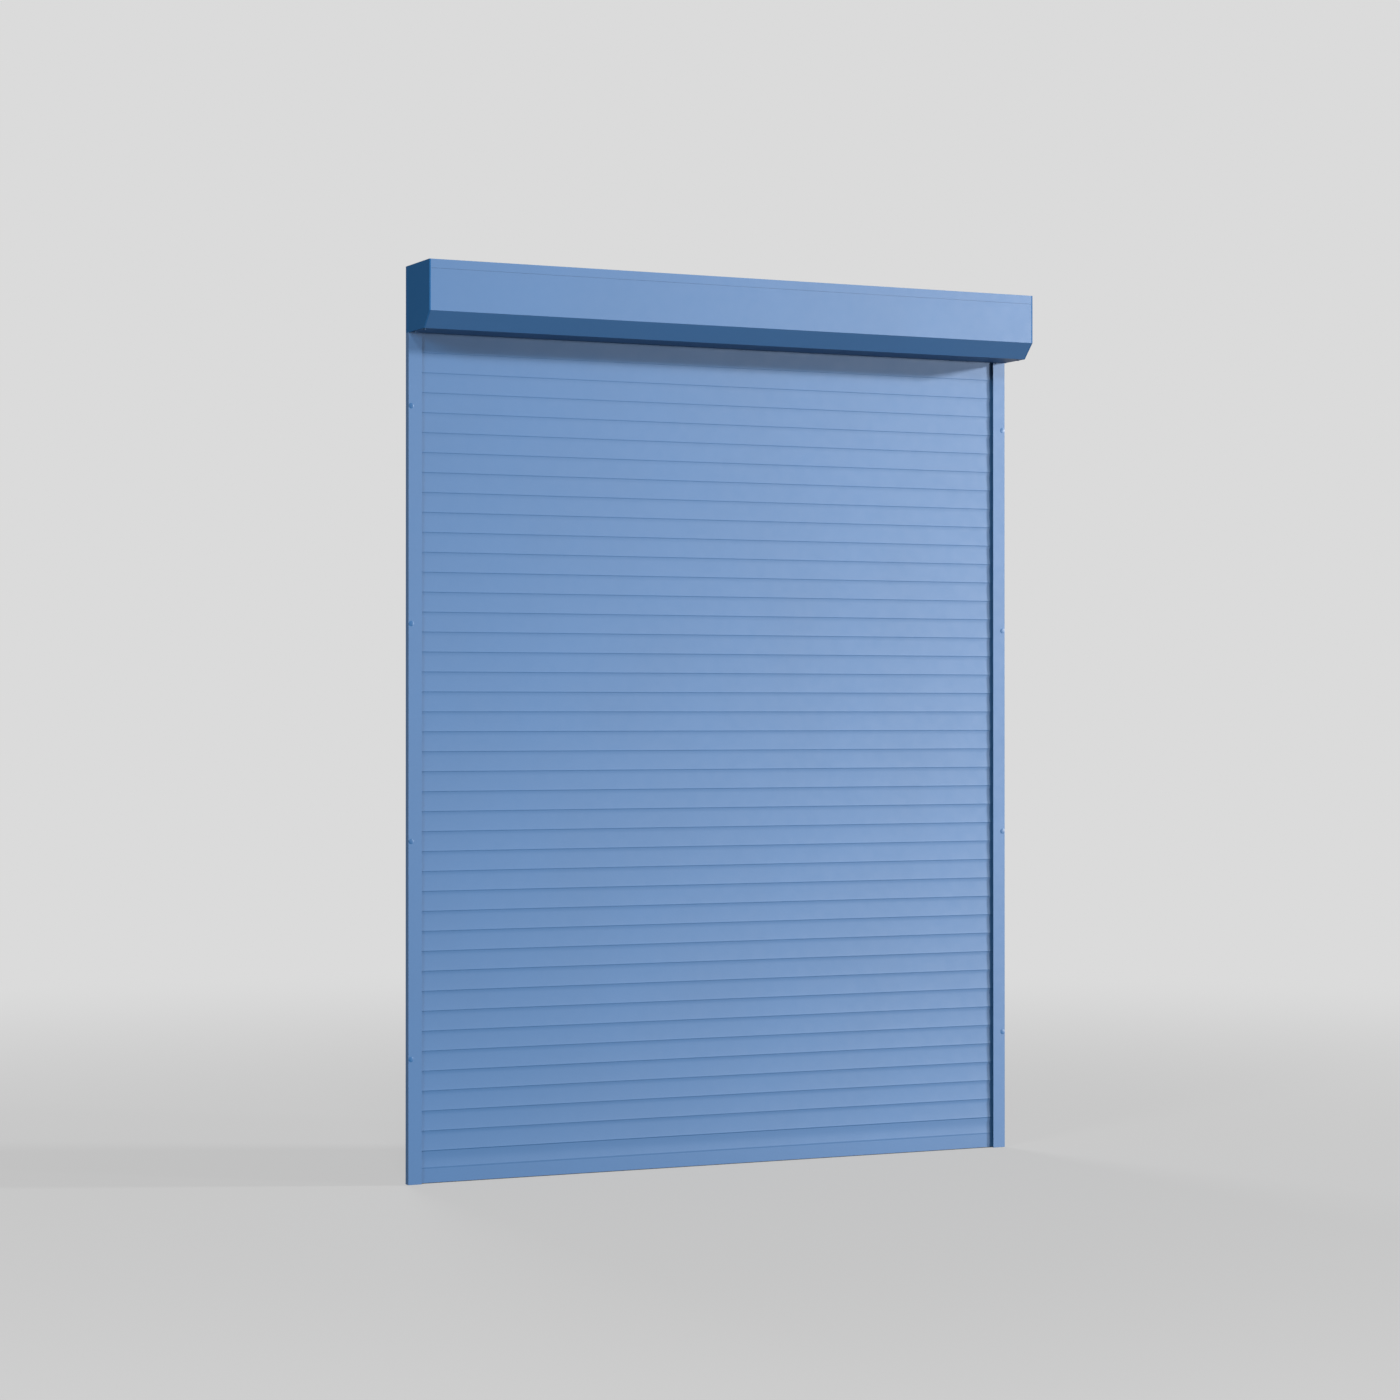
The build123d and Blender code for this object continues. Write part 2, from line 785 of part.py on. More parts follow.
def make_hanger_loop(x):
    """The wound stretch over the top, upper front and front flats, with its tab in the shaft's slot."""
    outer = octagon(shaft_across_flats + 2 * hanger_thickness)
    band = outer - octagon(shaft_across_flats)
    half_flat = shaft_across_flats / 2 * math.tan(math.pi / 8)
    reach = shaft_across_flats
    behind = Pos(half_flat + reach, 0) * Rectangle(2 * reach, 2 * reach)
    below = Pos(0, -reach - hanger_thickness / 2) * Rectangle(2 * reach, 2 * reach)
    front = -shaft_across_flats / 2
    tab = polygon(
        [
            (front - hanger_thickness, -hanger_thickness / 2),
            (front + tab_length, -hanger_thickness / 2),
            (front + tab_length, hanger_thickness / 2),
            (front - hanger_thickness, hanger_thickness / 2),
        ]
    )
    return Pos(0, shaft_y, shaft_z) * strap(band - behind - below + tab, x)


def make_hanger_spring(x):
    """The free stretch that bows from the top of the shaft down to the clip on the top slat."""
    low = shaft_z + shaft_across_flats / 2
    start = shaft_y + shaft_across_flats / 2 * math.tan(math.pi / 8)
    end_z = clip_top - hanger_overlap
    half = hanger_thickness / 2
    radius = min(hinge_y - start, low - clip_top) - hanger_thickness
    corner = (hinge_y - half - radius, low - radius)
    outer_radius = radius + hanger_thickness
    slope = math.sqrt(2) / 2
    edges = [
        Line((start, low), (corner[0], low)),
        ThreePointArc(
            (corner[0], low),
            (corner[0] + radius * slope, corner[1] + radius * slope),
            (corner[0] + radius, corner[1]),
        ),
        Line((corner[0] + radius, corner[1]), (hinge_y - half, end_z)),
        Line((hinge_y - half, end_z), (hinge_y + half, end_z)),
        Line((hinge_y + half, end_z), (corner[0] + outer_radius, corner[1])),
        ThreePointArc(
            (corner[0] + outer_radius, corner[1]),
            (corner[0] + outer_radius * slope, corner[1] + outer_radius * slope),
            (corner[0], corner[1] + outer_radius),
        ),
        Line((corner[0], corner[1] + outer_radius), (start, low + hanger_thickness)),
        Line((start, low + hanger_thickness), (start, low)),
    ]
    return strap(make_face(edges), x)


def make_hanger_clip(x):
    """A clip with the slat's own open barrel below and a slotted stem above."""
    centre = (0, hinge_rise)
    edges = pocket_edges(barrel_radius, pocket_radius - bulb_clearance / 2, barrel_rear_angle)
    edges += lines(flats_inside(centre, barrel_radius, mouth_front_angle, 360 - barrel_rear_angle, pocket_sides))
    ring = make_face(edges)
    half_stem = clip_stem_width / 2
    stem_low = hinge_rise + pocket_radius
    stem_high = hinge_rise + clip_stem_height
    ring += Pos(0, (stem_low + stem_high) / 2) * Rectangle(clip_stem_width, stem_high - stem_low)
    slot_width = hanger_thickness + 2 * clip_clearance
    slot_low = stem_high - hanger_overlap - clip_clearance
    slot_middle = (slot_low + stem_high + half_stem) / 2
    ring -= Pos(0, slot_middle) * Rectangle(slot_width, stem_high + half_stem - slot_low)
    half_clip = clip_width / 2
    return Pos(0, hinge_y, top_bulb_z - hinge_rise) * along_x(ring, (x - half_clip, x + half_clip))


# Inlet funnels, drawn for the right side
def make_inlet_funnel():
    low = box_bottom + cap_plate + rim_clearance + funnel_web_clearance
    high = low + funnel_height
    jaw_front = guide_wall - guide_depth
    web_x = (half_panel - funnel_web, half_panel)
    jaw_x = (half_width - guide_width + funnel_end_gap, half_panel)
    bend = box_bottom + hem_height + funnel_end_gap
    jaw = [
        (jaw_front, low),
        (jaw_front, bend),
        (jaw_front - funnel_flare, high),
        (jaw_front - funnel_flare - funnel_wall, high),
        (jaw_front - funnel_wall, bend),
        (jaw_front - funnel_wall, low),
    ]
    rear = -sheet - rim_clearance - rim_thickness - rim_clearance
    web = [
        (jaw_front, low),
        (rear, low),
        (rear, high),
        (jaw_front - funnel_flare, high),
        (jaw_front, bend),
    ]
    return along_x(polygon(jaw), jaw_x) + along_x(polygon(web), web_x)


def build():
    os.makedirs("parts", exist_ok=True)

    # Headbox
    save("rear_top_panel", make_rear_top_panel())
    save("inspection_cover", make_inspection_cover())
    cap = make_end_cap()
    save("end_cap_right", cap)
    save("end_cap_left", other_side(cap))
    funnel = make_inlet_funnel()
    save("inlet_funnel_right", funnel)
    save("inlet_funnel_left", other_side(funnel))
    save("cover_screws", *[make_cover_screw(x, y) for x, y in cover_screw_places()])
    save("panel_rivets", *[make_rivet(x, z) for x, z in rivet_places()])
    save("cable_grommet", make_grommet())
    save("outlet_seal", make_outlet_seal())

    # Guide rails
    guide = make_guide()
    save("guide_right", guide)
    save("guide_left", other_side(guide))
    brush = make_brush()
    save("brush_seal_right", brush)
    save("brush_seal_left", other_side(brush))
    plugs = [make_guide_plug(height) for height in fixing_heights]
    save("guide_plugs", *plugs, *[other_side(plug) for plug in plugs])
    foot = make_guide_foot()
    save("guide_feet", foot, other_side(foot))

    # Shaft, motor and bearing
    save("octagonal_shaft", make_shaft())
    save("motor_tube", make_motor_tube())
    save("motor_head", make_motor_head())
    save("motor_crown", make_motor_crown())
    save("motor_drive_adapter", make_drive_adapter())
    save("motor_bracket", make_motor_bracket())
    save("idler_capsule", make_idler_capsule())
    save("idler_pin", make_idler_pin())
    save("bearing_holder", make_bearing_holder())
    save("bearing_outer_ring", make_bearing_outer_ring())
    save("bearing_inner_ring", make_bearing_inner_ring())
    save("bracket_screws", *make_bracket_screws(1), *make_bracket_screws(-1))
    save("hanger_loops", *[make_hanger_loop(x) for x in hanger_places])
    save("hanger_springs", *[make_hanger_spring(x) for x in hanger_places])
    save("hanger_clips", *[make_hanger_clip(x) for x in hanger_places])

    # Curtain
    save("end_slat", make_end_slat())
    save("bottom_seal", make_bottom_seal())
    plug = make_end_slat_plug()
    save("end_slat_plugs", plug, other_side(plug))
    slat = make_slat()
    heights = [end_slat_height + n * slat_pitch for n in range(slat_count)]
    save("slat_01", Pos(0, 0, heights[0]) * slat)
    for first in range(1, slat_count, slats_per_node):
        group = heights[first : first + slats_per_node]
        name = "slats_" + "_".join(f"{first + n + 1:02d}" for n in range(len(group)))
        save(name, *[Pos(0, 0, height) * slat for height in group])
    save("top_slat", Pos(0, 0, curtain_top) * slat)
    lock = make_slat_lock()
    locks = [Pos(0, 0, height) * lock for height in heights[::slats_per_lock]]
    save("slat_locks_right", *locks)
    save("slat_locks_left", *[other_side(piece) for piece in locks])


build()
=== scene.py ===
"""Looks of the exterior roller shutter: paint, slats, seals, screws, studio and camera, in metres."""

import json
import math
import random

import bmesh
import bpy
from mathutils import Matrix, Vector

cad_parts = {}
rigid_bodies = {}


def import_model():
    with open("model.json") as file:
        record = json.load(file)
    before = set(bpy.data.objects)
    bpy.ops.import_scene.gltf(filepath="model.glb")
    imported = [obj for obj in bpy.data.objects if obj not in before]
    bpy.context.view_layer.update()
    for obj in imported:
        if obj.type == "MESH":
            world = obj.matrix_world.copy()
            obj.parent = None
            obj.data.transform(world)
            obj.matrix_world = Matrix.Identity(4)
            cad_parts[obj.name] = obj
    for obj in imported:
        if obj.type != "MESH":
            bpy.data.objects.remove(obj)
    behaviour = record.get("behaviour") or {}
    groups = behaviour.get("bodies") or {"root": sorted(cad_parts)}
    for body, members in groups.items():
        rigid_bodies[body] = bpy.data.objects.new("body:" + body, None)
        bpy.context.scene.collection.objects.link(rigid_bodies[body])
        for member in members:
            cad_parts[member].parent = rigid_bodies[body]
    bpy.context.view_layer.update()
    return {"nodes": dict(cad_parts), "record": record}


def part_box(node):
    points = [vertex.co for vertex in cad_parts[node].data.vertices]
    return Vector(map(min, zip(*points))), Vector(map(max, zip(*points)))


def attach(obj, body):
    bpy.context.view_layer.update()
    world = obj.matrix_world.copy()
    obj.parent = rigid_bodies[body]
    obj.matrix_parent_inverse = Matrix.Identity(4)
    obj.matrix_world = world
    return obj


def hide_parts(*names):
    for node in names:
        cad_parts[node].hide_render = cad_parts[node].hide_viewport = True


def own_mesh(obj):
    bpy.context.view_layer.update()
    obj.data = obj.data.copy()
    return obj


for leftover in list(bpy.data.objects):
    bpy.data.objects.remove(leftover)

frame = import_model()
nodes = frame["nodes"]
MM = 0.001

# Colours, linear
SIGNAL_BLUE = (0.0043, 0.0625, 0.170)
PLUG_BLUE = (0.0043, 0.061, 0.166)
BLACK = (0.016, 0.016, 0.017)
RUBBER = (0.011, 0.011, 0.012)
PILE = (0.022, 0.022, 0.024)
ZINC = (0.50, 0.51, 0.52)
BRIGHT_STEEL = (0.62, 0.62, 0.63)
SPRING_STEEL = (0.30, 0.31, 0.33)
MOTOR_PAINT = (0.60, 0.61, 0.61)
MOTOR_GREY = (0.085, 0.086, 0.09)
DUST = (0.20, 0.20, 0.19)
BACKGROUND = (0.708, 0.708, 0.708)
FLOOR = (0.75, 0.75, 0.75)
FLOOR_GLOW = (0.495, 0.495, 0.495)
FLOOR_SHADE = (0.10, 0.10, 0.10)

# Finishes: the panels have a satin coat, the end caps a matt one, and dust lies on what looks up
PAINT_ROUGHNESS = 0.6
PAINT_IOR = 1.65
MATT_ROUGHNESS = 0.92
MATT_IOR = 1.33
MATT_CASTINGS = ("end_cap_left", "end_cap_right")
DUST_SHARE = 0.12
DUST_ROUGHNESS = 0.9
DUST_STARTS = 0.7
DUST_FULL = 0.95
NOISE_LOW = 0.3
NOISE_HIGH = 0.7
ALONG_X = (0.03, 1, 1)

# Edge radii of construction pieces, in millimetres
EDGE_RADII = {
    "rear_top_panel": 0.35,
    "inspection_cover": 0.35,
    "end_cap_left": 0.3,
    "end_cap_right": 0.3,
    "guide_left": 0.3,
    "guide_right": 0.3,
    "end_slat": 0.25,
}
EDGE_STEPS = 2
EDGE_ANGLE = 40
ROUND_SHARP = 40
WELD = 0.005 * MM

# Slat section, as the construction has it
PITCH = 45 * MM
SLAT_DEPTH = 9 * MM
HINGE_RISE = 3 * MM
BARREL = 3.5 * MM
POCKET = 2.5 * MM
BULB = 2.1 * MM
SEAT = 3.95 * MM
SEAT_GAP = 0.45 * MM
LIP_GAP = 0.15 * MM
NECK_HALF = 0.6 * MM
NECK_SHOULDER = 1.5 * MM
DIP_HEIGHT = 36 * MM
DIP_DEPTH = 1 * MM
DIP_SAGITTA = 0.2 * MM
REAR_SAGITTA = 1.4 * MM
REAR_EDGE = SLAT_DEPTH - BARREL - REAR_SAGITTA

# Angles round the hinge's centre, from straight down
NECK_LEAN = 20
FLANK = 100
SEAT_FRONT = 58
SEAT_START = 52
SEAT_REAR = 50
MOUTH_FRONT = 50
MOUTH_REAR = 42
BARREL_REAR = 60

# Camera, fitted to the box and guide edges of the photograph
CAMERA_PLACE = (-3.401, -7.085, 1.061)
CAMERA_PITCH = 90.222
CAMERA_TURN = -25.37
CAMERA_LENS = 85.92
SENSOR = 36

# Floor: up to the first reach it takes shadows, and beyond the second it is plain background
FLOOR_DROP = 0.001
FLOOR_RADIUS = 30
FLOOR_NEAR = 1.2
FLOOR_FAR = 6
FLOOR_GLOW_SHARE = 0.9

# Soft light by height, from straight down at none to straight up at one
SKY = (
    (0.42, (0.02, 0.02, 0.022)),
    (0.62, (0.07, 0.07, 0.07)),
    (0.95, (0.50, 0.50, 0.50)),
)

# Softboxes: turn runs from the front towards the right, rise from level, both in degrees
AIM = Vector((0, -0.05, 1.0))
LAMPS = {
    "key": {"turn": 66, "rise": 14, "distance": 16, "size": 1.2, "power": 5300},
    "low_key": {"turn": 48, "rise": 3, "distance": 16, "size": 1.2, "power": 2200},
    "front": {"turn": -22, "rise": 26, "distance": 9, "size": 0.9, "power": 230},
    "fill": {"turn": -56, "rise": 20, "distance": 9, "size": 2, "power": 460},
    "back": {"turn": 180, "rise": 42, "distance": 6, "size": 1.5, "power": 260},
}


# Materials
def shader(name, colour, roughness):
    material = bpy.data.materials.new(name)
    material.use_nodes = True
    surface = material.node_tree.nodes["Principled BSDF"]
    surface.inputs["Base Color"].default_value = (*colour, 1)
    surface.inputs["Roughness"].default_value = roughness
    return material, material.node_tree, surface


def noise(tree, scale, detail=3, stretch=(1, 1, 1)):
    place = tree.nodes.new("ShaderNodeTexCoord")
    mapping = tree.nodes.new("ShaderNodeMapping")
    mapping.inputs["Scale"].default_value = stretch
    tree.links.new(place.outputs["Object"], mapping.inputs["Vector"])
    grain = tree.nodes.new("ShaderNodeTexNoise")
    grain.inputs["Scale"].default_value = scale
    grain.inputs["Detail"].default_value = detail
    tree.links.new(mapping.outputs["Vector"], grain.inputs["Vector"])
    return grain.outputs["Fac"]


def vary_colour(tree, surface, factor, colour, spread):
    ramp = tree.nodes.new("ShaderNodeValToRGB")
    ramp.color_ramp.elements[0].position = NOISE_LOW
    ramp.color_ramp.elements[1].position = NOISE_HIGH
    ramp.color_ramp.elements[0].color = (*[c * (1 - spread) for c in colour], 1)
    ramp.color_ramp.elements[1].color = (*[min(1, c * (1 + spread)) for c in colour], 1)
    tree.links.new(factor, ramp.inputs["Fac"])
    tree.links.new(ramp.outputs["Color"], surface.inputs["Base Color"])


def vary_roughness(tree, surface, factor, low, high):
    ranged = tree.nodes.new("ShaderNodeMapRange")
    ranged.inputs["From Min"].default_value = NOISE_LOW
    ranged.inputs["From Max"].default_value = NOISE_HIGH
    ranged.inputs["To Min"].default_value = low
    ranged.inputs["To Max"].default_value = high
    tree.links.new(factor, ranged.inputs["Value"])
    tree.links.new(ranged.outputs["Result"], surface.inputs["Roughness"])


def bump(tree, surface, height, strength, distance):
    relief = tree.nodes.new("ShaderNodeBump")
    relief.inputs["Strength"].default_value = strength
    relief.inputs["Distance"].default_value = distance
    tree.links.new(height, relief.inputs["Height"])
    tree.links.new(relief.outputs["Normal"], surface.inputs["Normal"])


def dust_film(tree, surface):
    """A thin matt film of dust on the faces that look up, over the finish already there."""
    place = tree.nodes.new("ShaderNodeNewGeometry")
    split = tree.nodes.new("ShaderNodeSeparateXYZ")
    tree.links.new(place.outputs["Normal"], split.inputs["Vector"])
    upward = tree.nodes.new("ShaderNodeMapRange")
    upward.inputs["From Min"].default_value = DUST_STARTS
    upward.inputs["From Max"].default_value = DUST_FULL
    tree.links.new(split.outputs["Z"], upward.inputs["Value"])
    thin = tree.nodes.new("ShaderNodeMath")
    thin.operation = "MULTIPLY"
    thin.inputs[1].default_value = DUST_SHARE
    tree.links.new(upward.outputs["Result"], thin.inputs[0])
    tint = tree.nodes.new("ShaderNodeMix")
    tint.data_type = "RGBA"
    tint.inputs["B"].default_value = (*DUST, 1)
    tree.links.new(thin.outputs["Value"], tint.inputs["Factor"])
    tree.links.new(surface.inputs["Base Color"].links[0].from_socket, tint.inputs["A"])
    tree.links.new(tint.outputs["Result"], surface.inputs["Base Color"])
    matt = tree.nodes.new("ShaderNodeMix")
    matt.inputs["B"].default_value = DUST_ROUGHNESS
    tree.links.new(upward.outputs["Result"], matt.inputs["Factor"])
    tree.links.new(surface.inputs["Roughness"].links[0].from_socket, matt.inputs["A"])
    tree.links.new(matt.outputs["Result"], surface.inputs["Roughness"])


def powder_coat(name, colour, roughness=PAINT_ROUGHNESS, ior=PAINT_IOR):
    """Fine orange peel under a powder coat, with a faint cloud in colour and gloss."""
    material, tree, surface = shader(name, colour, roughness)
    surface.inputs["IOR"].default_value = ior
    vary_colour(tree, surface, noise(tree, scale=3.5), colour, spread=0.03)
    vary_roughness(tree, surface, noise(tree, scale=45), low=roughness - 0.02, high=roughness + 0.02)
    bump(tree, surface, noise(tree, scale=700, detail=2), strength=0.10, distance=0.15 * MM)
    dust_film(tree, surface)
    return material


def plastic(name, colour, roughness=0.5):
    material, tree, surface = shader(name, colour, roughness)
    vary_colour(tree, surface, noise(tree, scale=25), colour, spread=0.10)
    vary_roughness(tree, surface, noise(tree, scale=90), low=roughness - 0.06, high=roughness + 0.06)
    bump(tree, surface, noise(tree, scale=1500, detail=2), strength=0.25, distance=0.1 * MM)
    return material


def rubber(name, colour, roughness=0.72):
    material, tree, surface = shader(name, colour, roughness)
    vary_colour(tree, surface, noise(tree, scale=40), colour, spread=0.18)
    bump(tree, surface, noise(tree, scale=900, detail=4), strength=0.35, distance=0.12 * MM)
    return material


def pile(name, colour, roughness=0.85):
    """Fine fibres, streaked along the brush in colour and across it in relief."""
    material, tree, surface = shader(name, colour, roughness)
    fibres = noise(tree, scale=1200, detail=2, stretch=(1, 1, 0.2))
    relief = noise(tree, scale=1600, detail=2, stretch=(1, 0.15, 1))
    vary_colour(tree, surface, fibres, colour, spread=0.5)
    bump(tree, surface, relief, strength=0.6, distance=0.2 * MM)
    return material


def steel(name, colour, roughness, cloud, stretch=(1, 1, 1)):
    """Bare metal, ground all over or with rolled streaks along its length."""
    material, tree, surface = shader(name, colour, roughness)
    surface.inputs["Metallic"].default_value = 1
    streaks = noise(tree, scale=220, stretch=stretch)
    vary_colour(tree, surface, noise(tree, scale=cloud), colour, spread=0.12)
    vary_roughness(tree, surface, streaks, low=roughness - 0.08, high=roughness + 0.1)
    bump(tree, surface, noise(tree, scale=600, detail=2, stretch=stretch), strength=0.15, distance=0.08 * MM)
    return material


def galvanised(name, colour, roughness=0.42, crystal_scale=110):
    """Zinc spangle: flat crystals of slightly different brightness."""
    material, tree, surface = shader(name, colour, roughness)
    surface.inputs["Metallic"].default_value = 1
    place = tree.nodes.new("ShaderNodeTexCoord")
    crystals = tree.nodes.new("ShaderNodeTexVoronoi")
    crystals.inputs["Scale"].default_value = crystal_scale
    tree.links.new(place.outputs["Object"], crystals.inputs["Vector"])
    grey = tree.nodes.new("ShaderNodeRGBToBW")
    tree.links.new(crystals.outputs["Color"], grey.inputs["Color"])
    vary_colour(tree, surface, grey.outputs["Val"], colour, spread=0.14)
    vary_roughness(tree, surface, grey.outputs["Val"], low=roughness - 0.08, high=roughness + 0.08)
    bump(tree, surface, noise(tree, scale=300), strength=0.1, distance=0.1 * MM)
    return material


materials = {
    "powder_coat_blue": powder_coat("signal_blue_powder_coat", SIGNAL_BLUE),
    "guide_plug_blue": plastic("blue_plug_plastic", PLUG_BLUE, roughness=0.42),
    "black_plastic": plastic("black_nylon", BLACK),
    "black_rubber": rubber("black_rubber", RUBBER),
    "brush_pile": pile("grey_brush_pile", PILE),
    "galvanised_steel": galvanised("galvanised_steel", ZINC),
    "bearing_steel": steel("ground_steel", BRIGHT_STEEL, roughness=0.22, cloud=20),
    "spring_steel": steel("blued_spring_steel", SPRING_STEEL, roughness=0.36, cloud=30, stretch=ALONG_X),
    "motor_white": powder_coat("motor_tube_paint", MOTOR_PAINT, roughness=0.4),
    "motor_grey": plastic("motor_head_plastic", MOTOR_GREY),
}
matt_coat = powder_coat("signal_blue_matt_coat", SIGNAL_BLUE, MATT_ROUGHNESS, MATT_IOR)
slot_of = {part["node"]: part["material_slot"] for part in frame["record"]["subparts"]}


def finish_nodes():
    """The end caps are castings with a matt coat, and all other pieces have their slot's finish."""
    for name, node in nodes.items():
        finish = matt_coat if name in MATT_CASTINGS else materials[slot_of[name]]
        for place in node.material_slots:
            place.material = finish


def soften(name, width):
    """A small edge radius on a construction piece, so that its edges catch the light."""
    edge = nodes[name].modifiers.new("edge radius", "BEVEL")
    edge.width = width
    edge.segments = EDGE_STEPS
    edge.limit_method = "ANGLE"
    edge.angle_limit = math.radians(EDGE_ANGLE)
    edge.harden_normals = False


# Mesh helpers
def add_piece(name, mesh, body, slot, *replaced):
    piece = bpy.data.objects.new(name, mesh)
    bpy.context.scene.collection.objects.link(piece)
    mesh.materials.append(materials[slot])
    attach(piece, body)
    if replaced:
        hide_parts(*replaced)
    return piece


def mesh_from(name, points, faces, sharp_angle=35):
    mesh = bpy.data.meshes.new(name)
    mesh.from_pydata(points, [], faces)
    form = bmesh.new()
    form.from_mesh(mesh)
    bmesh.ops.recalc_face_normals(form, faces=form.faces)
    form.to_mesh(mesh)
    form.free()
    mesh.shade_smooth()
    mesh.set_sharp_from_angle(angle=math.radians(sharp_angle))
    return mesh


def bar_faces(count, start):
    """Sides and ends of a bar between two outlines of so many points, which follow each other."""
    near = [start + n for n in range(count)]
    far = [start + count + n for n in range(count)]
    sides = [(near[n - 1], near[n], far[n], far[n - 1]) for n in range(count)]
    return sides + [tuple(near), tuple(far)]


def bars_along_x(name, outlines, x_span):
    """Straight bars with the given outlines, each a list of (y, z)."""
    points = []
    faces = []
    for outline in outlines:
        faces += bar_faces(len(outline), len(points))
        points += [(x, y, z) for x in x_span for y, z in outline]
    return mesh_from(name, points, faces)


def turned(name, profile, sides=48, axis="Y"):
    """A round form about Y or Z through the origin, from (radius, distance along the axis) pairs."""
    points = []
    for turn in range(sides):
        angle = 2 * math.pi * turn / sides
        for radius, along in profile:
            first = radius * math.cos(angle)
            second = radius * math.sin(angle)
            points.append((first, along, second) if axis == "Y" else (first, second, along))
    count = len(profile)
    faces = []
    for turn in range(sides):
        here = turn * count
        after = (turn + 1) % sides * count
        faces += [(here + n, after + n, after + n + 1, here + n + 1) for n in range(count - 1)]
    mesh = mesh_from(name, points, faces, ROUND_SHARP)
    form = bmesh.new()
    form.from_mesh(mesh)
    bmesh.ops.remove_doubles(form, verts=form.verts, dist=WELD)
    form.to_mesh(mesh)
    form.free()
    mesh.set_sharp_from_angle(angle=math.radians(ROUND_SHARP))
    return mesh


def copies(name, mesh, places, body, slot, *replaced):
    """One mesh repeated at several places, joined into one piece."""
    form = bmesh.new()
    for place in places:
        start = len(form.verts)
        form.from_mesh(mesh)
        form.verts.ensure_lookup_table()
        for vert in form.verts[start:]:
            vert.co += Vector(place)
    joined = bpy.data.meshes.new(name)
    form.to_mesh(joined)
    form.free()
    joined.shade_smooth()
    joined.set_sharp_from_angle(angle=math.radians(ROUND_SHARP))
    return add_piece(name, joined, body, slot, *replaced)


# Slats, with the construction's section in smooth curves
def around(centre, radius, angle):
    turn = math.radians(angle)
    return (centre[0] - radius * math.sin(turn), centre[1] - radius * math.cos(turn))


def arc(centre, radius, start, end, steps):
    return [around(centre, radius, start + (end - start) * n / steps) for n in range(steps + 1)]


def bowed(start, end, sagitta, steps):
    """A shallow curve between two points that sinks into the slat at its middle."""
    points = []
    for n in range(1, steps):
        share = n / steps
        depth = 4 * share * (1 - share) * sagitta
        y = start[0] + (end[0] - start[0]) * share + depth
        z = start[1] + (end[1] - start[1]) * share
        points.append((y, z))
    return points


def head(height):
    """The hooked head of a slat, from its front lip over the bulb to the rear edge."""
    centre = (0, height + HINGE_RISE)
    root = math.degrees(math.asin(NECK_HALF / SEAT))
    lean = math.radians(NECK_LEAN)

    def shoulder(across):
        return (
            centre[0] + NECK_SHOULDER * math.sin(lean) - across * math.cos(lean),
            centre[1] - NECK_SHOULDER * math.cos(lean) - across * math.sin(lean),
        )

    points = [around(centre, BARREL + LIP_GAP, SEAT_FRONT)]
    points += arc(centre, SEAT, SEAT_START, root - NECK_LEAN, steps=6)
    points.append(shoulder(NECK_HALF))
    points += arc(centre, BULB, 90 - NECK_LEAN, 270 - NECK_LEAN, steps=10)
    points.append(shoulder(-NECK_HALF))
    points += arc(centre, SEAT, -root - NECK_LEAN, -SEAT_REAR, steps=4)
    return points + [(REAR_EDGE, height)]


def slat_outline():
    """One slat from its barrel up the front, over the head, down the back and round the pocket."""
    centre = (0, HINGE_RISE)
    flank = around(centre, BARREL, FLANK)
    front_top = around((0, PITCH + HINGE_RISE), BARREL + LIP_GAP, SEAT_FRONT)
    dip = (flank[0] + DIP_DEPTH, DIP_HEIGHT)
    points = arc(centre, BARREL, MOUTH_FRONT, FLANK, steps=8)
    points += bowed(flank, dip, DIP_SAGITTA, steps=10)
    points.append(dip)
    points += bowed(dip, front_top, DIP_SAGITTA, steps=8)
    points += head(PITCH)
    points += bowed((REAR_EDGE, PITCH), (REAR_EDGE, SEAT_GAP), REAR_SAGITTA, steps=14)
    points.append((REAR_EDGE, SEAT_GAP))
    points += arc(centre, BARREL, -BARREL_REAR, -MOUTH_REAR, steps=2)
    points += arc(centre, POCKET, -MOUTH_REAR, MOUTH_FRONT - 360, steps=14)
    return points


def make_slats():
    lowest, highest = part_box("slat_01")
    ends = (lowest.x, highest.x)
    hinge_y = lowest.y + BARREL
    section = slat_outline()
    first = lowest.z - min(z for y, z in section)
    for name in nodes:
        if not name.startswith(("slat_0", "slats_", "top_slat")):
            continue
        low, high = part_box(name)
        count = round((high.z - low.z) / PITCH)
        base = first + round((low.z - lowest.z) / PITCH) * PITCH
        outlines = [[(hinge_y + y, base + n * PITCH + z) for y, z in section] for n in range(count)]
        body = "top_slat" if name == "top_slat" else "curtain"
        mesh = bars_along_x(name + "_smooth", outlines, ends)
        add_piece(name + "_smooth", mesh, body, "powder_coat_blue", name)


